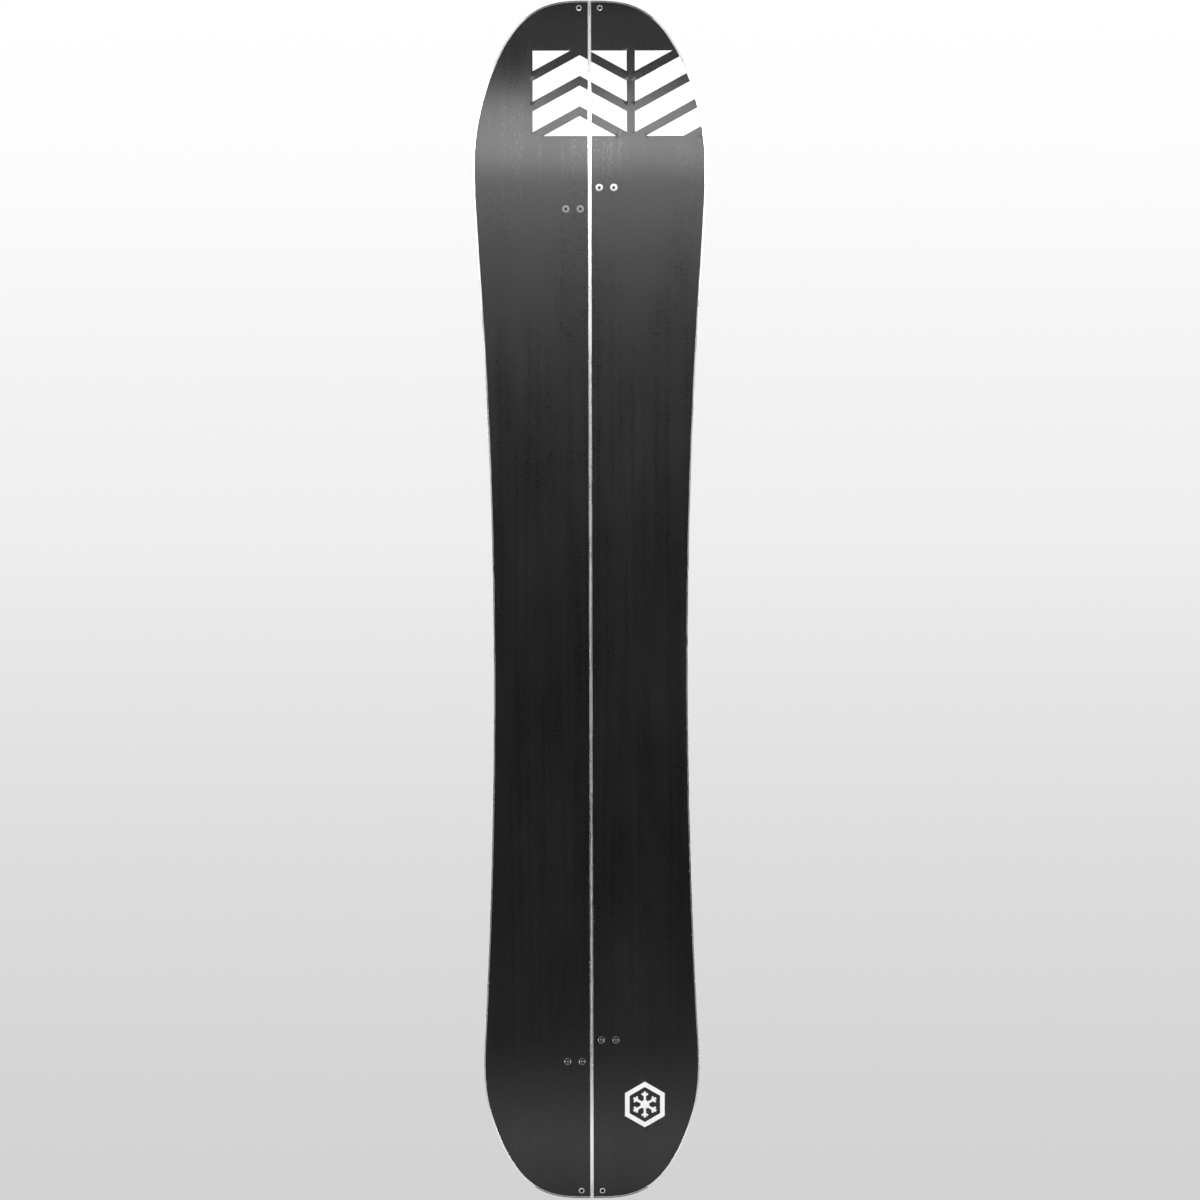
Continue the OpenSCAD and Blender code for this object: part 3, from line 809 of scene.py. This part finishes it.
# ------------------------------------------------------------------------------------------------ nuts in the base
def turned(profile, kinds, place, n=64):
    """A turned piece. profile is (r, z) from one end of a closed section to the other: it starts and ends on the
    axis, or is closed. kinds gives each step's material."""
    verts, faces, mat, rings = [], [], [], []
    for r, z in profile:
        if r < 1e-6:
            rings.append([len(verts)])
            verts.append(place(0.0, 0.0, z))
        else:
            rings.append(list(range(len(verts), len(verts) + n)))
            verts += [place(r * math.cos(2 * math.pi * i / n), r * math.sin(2 * math.pi * i / n), z) for i in range(n)]
    steps = list(zip(rings, rings[1:]))
    if profile[0][0] > 1e-6:
        steps.append((rings[-1], rings[0]))
    for k, (a, b) in enumerate(steps):
        for i in range(n):
            j = (i + 1) % n
            if len(a) == 1:
                f = (a[0], b[j], b[i])
            elif len(b) == 1:
                f = (a[i], a[j], b[0])
            else:
                f = (a[i], a[j], b[j], b[i])
            faces.append(f)
            mat.append(kinds[k])
    return verts, faces, mat


def thread(r0, r1, z0, z1, n):
    """Ridges of a screw thread seen in section, from z0 to z1."""
    out = []
    for i in range(n):
        t = (z1 - z0) / n
        out += [(r0, z0 + t * (i + 0.15)), (r1, z0 + t * (i + 0.5)), (r0, z0 + t * (i + 0.85))]
    return out


def nut_blind(rf, rb, hole, depth, floor_z, flange, top):
    """Blind flanged nut: chamfered rim, a fine turned groove on the face, a threaded hole that ends in a cone. The
    hole, its cone and its mouth take a near-black colour: painted shade.
    """
    p = [(0, depth + 0.35)] + [(hole, depth)] + list(reversed(thread(hole, hole + 0.14, 0.4, depth - 0.1, 4)))
    dark = len(p) - 1
    mid = (hole + rf) / 2
    p += [(hole, 0.3), (hole + 0.22, 0.06), (hole + 0.32, 0.0), (mid - 0.12, 0.0), (mid, 0.07), (mid + 0.12, 0.0)]
    p += [(rf - 0.42, 0.0), (rf - 0.2, 0.06), (rf - 0.05, 0.2), (rf, 0.36), (rf, flange), (rb, flange), (rb, top), (2.0, top), (2.0, floor_z), (0, floor_z)]
    # material 3 up the hole and over its mouth: painted shade
    return p, [3] * (dark + 3) + [None] * (len(p) - 4 - dark)


def nut_open(flange, top):
    """Open nut with a dished face round the screw's end. Its bore takes a near-black colour: painted shade."""
    p = [(2.0, top), (2.0, 1.6), (2.1, 1.5), (2.1, 0.52), (2.3, 0.38), (3.55, 0.35), (3.8, 0.2), (3.92, 0.05), (4.02, 0.0)]
    p += [(4.7, 0.0), (4.88, 0.07), (4.95, 0.22), (4.95, flange), (2.95, flange), (2.95, top)]
    # the first four steps, up the bore, take material 3: painted shade
    return p, [3, 3, 3, 3, None, 1, 1, 1, 1, 1, 1, None, None, None, None]


def nut_piece(name, nuts, body, node_name):
    """nuts: (profile, kinds, face material index, place)."""
    verts, faces, mat = [], [], []
    for (p, kinds), face, place in nuts:
        v, f, m = turned(p, [face if k is None else k for k in kinds], place)
        faces += [tuple(i + len(verts) for i in q) for q in f]
        mat += m
        verts += v
    ob = new_mesh(name, verts, faces, body, angle=28, mats=[M["nut_bright"], M["nut_dull"], M["nut_dark"], M["bore_painted_shade"], M["nut_clip"]])
    ob.data.polygons.foreach_set("material_index", mat)
    bm = bmesh.new()
    bm.from_mesh(ob.data)
    bmesh.ops.recalc_face_normals(bm, faces=bm.faces)
    bm.to_mesh(ob.data)
    bm.free()
    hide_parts(node_name)
    return ob


def upright(x, y, z0):
    return lambda px, py, pz: (x + px, y + py, z0 + pz)


def on_deck(x, y, dz):
    """Square to the deck at (x, y), dz above it along its normal."""
    a = deck_angle(y)
    c, s = math.cos(a), math.sin(a)
    return lambda px, py, pz: (x + px, y + py * c - (pz + dz) * s, deck_z(y) + py * s + (pz + dz) * c)


for side, half in ((-1, "left"), (1, "right")):
    nuts = []
    for yc in HOOKS:
        for x in HOOK_X:
            y = yc - 14 * side
            if yc < 0:
                kind = nut_blind(4.95, 2.95, 1.7, 2.2, 2.8, BASE_T - 0.45, board_t(y) - 0.95)
                nuts.append((kind, 0 if side > 0 else 1, upright(side * x, y, base_z(y) + 0.25)))
            else:
                nuts.append((nut_open(BASE_T - 0.45, board_t(y) - 0.95), 2, upright(side * x, y, base_z(y) + 0.25)))
    nut_piece(half + "_flange_nuts", nuts, half + "_half", half + "_hook_nuts")
    nuts = []
    for y in CLIP_Y:
        th = board_t(y) * math.cos(deck_angle(y))
        kind = nut_blind(3.95, 2.55, 2.1, 1.5, 1.9, BASE_T * math.cos(deck_angle(y)) - 0.35, th - 0.75)
        nuts.append((kind, 4, on_deck(side * CLIP_X, y, 0.2 - th)))
    nut_piece("latch_flange_nuts" if side < 0 else "post_flange_nuts", nuts, half + "_half", "latch_nuts" if side < 0 else "post_nuts")

# ------------------------------------------------------------------------------------------------ CAD pieces kept
SLOTS = {s["node"]: s["material_slot"] for s in frame["record"]["subparts"]}
BEVELS = {"hook_alloy": (0.4, 3), "screw_steel": (0.2, 2), "nut_steel": (0.18, 2), "washer_nylon": (0.25, 2)}
for name, ob in frame["nodes"].items():
    if ob.hide_render:
        continue
    slot = SLOTS[name]
    ob.data.materials.clear()
    ob.data.materials.append(M[slot])
    ob.data.polygons.foreach_set("use_smooth", [True] * len(ob.data.polygons))
    ob.data.set_sharp_from_angle(angle=math.radians(32))
    if slot in BEVELS:
        w, n = BEVELS[slot]
        bevel(ob, w, n, 40)

# ------------------------------------------------------------------------------------------------ stage and light
# The board faces down, so the camera looks up at its base from far below, nose at the top of the picture.
DIST = 40.0
LENS_F = 0.7861 / (DIST + 0.012)
ROLL = 0.134
cam = bpy.data.cameras.new("camera")
cam.sensor_width = 36
cam.lens = 18 / LENS_F
cam.clip_end = 160
cam_ob = bpy.data.objects.new("camera", cam)
cam_ob.location = (0.0122, 0.001, -DIST)
cam_ob.rotation_euler = (math.pi, 0, math.radians(ROLL))
scene.collection.objects.link(cam_ob)
scene.camera = cam_ob


def backdrop():
    """A plain backdrop behind the board that glows by itself, paler towards the nose end: painted light."""
    me = bpy.data.meshes.new("backdrop")
    w, z = 3.2, 60.0
    me.from_pydata([(-w, -w, z), (w, -w, z), (w, w, z), (-w, w, z)], [], [(0, 1, 2, 3)])
    ob = bpy.data.objects.new("backdrop", me)
    scene.collection.objects.link(ob)
    m = bpy.data.materials.new("backdrop")
    m.use_nodes = True
    nt = m.node_tree
    nt.nodes.clear()
    out = node(nt, "ShaderNodeOutputMaterial")
    em = node(nt, "ShaderNodeEmission")
    tc = node(nt, "ShaderNodeTexCoord")
    sep = node(nt, "ShaderNodeSeparateXYZ")
    nt.links.new(tc.outputs["Object"], sep.inputs["Vector"])
    # the picture's height at the backdrop's distance
    hh = (DIST + z) * LENS_F
    t = remap(nt, sep.outputs["Y"], -hh, hh, 0.0, 1.0)

    def srgb(v):
        v /= 255
        return ((v + 0.055) / 1.055) ** 2.4 if v > 0.04 else v / 12.92

    # painted light: the glow falls from white at the nose end to grey at the tail end
    stops = [(0.0, 255), (0.067, 254), (0.15, 252), (0.24, 247), (0.34, 242), (0.45, 238), (0.53, 232), (0.61, 227), (0.71, 221), (0.81, 217), (0.9, 213), (1.0, 210)]
    col = ramp(nt, t, [(p, grey(srgb(s))) for p, s in stops])
    nt.links.new(col, em.inputs["Color"])
    nt.links.new(em.outputs[0], out.inputs[0])
    ob.data.materials.append(m)
    ob.visible_diffuse = ob.visible_glossy = ob.visible_shadow = ob.visible_transmission = False
    ob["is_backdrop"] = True


def floor():
    me = bpy.data.meshes.new("floor")
    w, z = 110.0, -44.0
    me.from_pydata([(-w, -w, z), (w, -w, z), (w, w, z), (-w, w, z)], [], [(0, 1, 2, 3)])
    ob = bpy.data.objects.new("floor", me)
    scene.collection.objects.link(ob)
    m, nt, b = material("floor", (0.8, 0.8, 0.8), 0.8)
    b.inputs["Emission Color"].default_value = (0.62, 0.62, 0.62, 1)
    b.inputs["Emission Strength"].default_value = 1.0
    ob.data.materials.append(m)
    ob.visible_diffuse = ob.visible_glossy = False
    ob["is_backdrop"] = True


backdrop()
floor()

world = bpy.data.worlds.new("world")
scene.world = world
world.use_nodes = True
wn = world.node_tree
bg = wn.nodes["Background"]
path = node(wn, "ShaderNodeLightPath")
wm = mix(wn, path.outputs["Is Camera Ray"], (0.02, 0.02, 0.02, 1), (0.83, 0.83, 0.83, 1))
wn.links.new(wm, bg.inputs["Color"])


def area(name, loc, target, size, power, size_y=None):
    lt = bpy.data.lights.new(name, "AREA")
    lt.shape = "RECTANGLE"
    lt.size = size
    lt.size_y = size_y or size
    lt.energy = power
    ob = bpy.data.objects.new(name, lt)
    ob.location = loc
    ob.rotation_euler = (Vector(target) - Vector(loc)).to_track_quat("-Z", "Y").to_euler()
    scene.collection.objects.link(ob)
    return ob


# two large low lights light the white parts evenly; strips below the nose and the tail make the base's sheen
area("low_l", (-3.9, 0.1, -1.3), (0, 0, 0), 2.0, 305, 3.2)
area("low_r", (3.9, 0.1, -1.3), (0, 0, 0), 2.0, 305, 3.2)
for angle, power in ((0, 1.4), (6, 9.3), (18, 7.4), (36, 0.3), (48, 0.95), (60, 0.24)):
    a = math.radians(angle)
    area("nose_%d" % angle, (0, -0.65 - 1.5 * math.sin(a), -1.5 * math.cos(a)), (0, -0.65, 0), 1.0, power, 0.2)
for angle, power in ((0, 0.22), (10, 0.5), (20, 0.78), (30, 1.26), (42, 1.1), (56, 0.58)):
    a = math.radians(angle)
    area("tail_%d" % angle, (0, 0.65 + 1.5 * math.sin(a), -1.5 * math.cos(a)), (0, 0.65, 0), 1.0, power, 0.3)
area("deck_l", (-2.4, -1.5, 2.4), (0, 0, 0), 2.2, 150)
area("deck_r", (2.6, 1.2, 2.2), (0, 0, 0), 2.2, 100)

visual_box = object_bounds()


def plain(v):
    if isinstance(v, (int, float)):
        return float(v)
    return [plain(x) for x in v]


{"cad": plain(cad_box), "visual": plain(visual_box)}
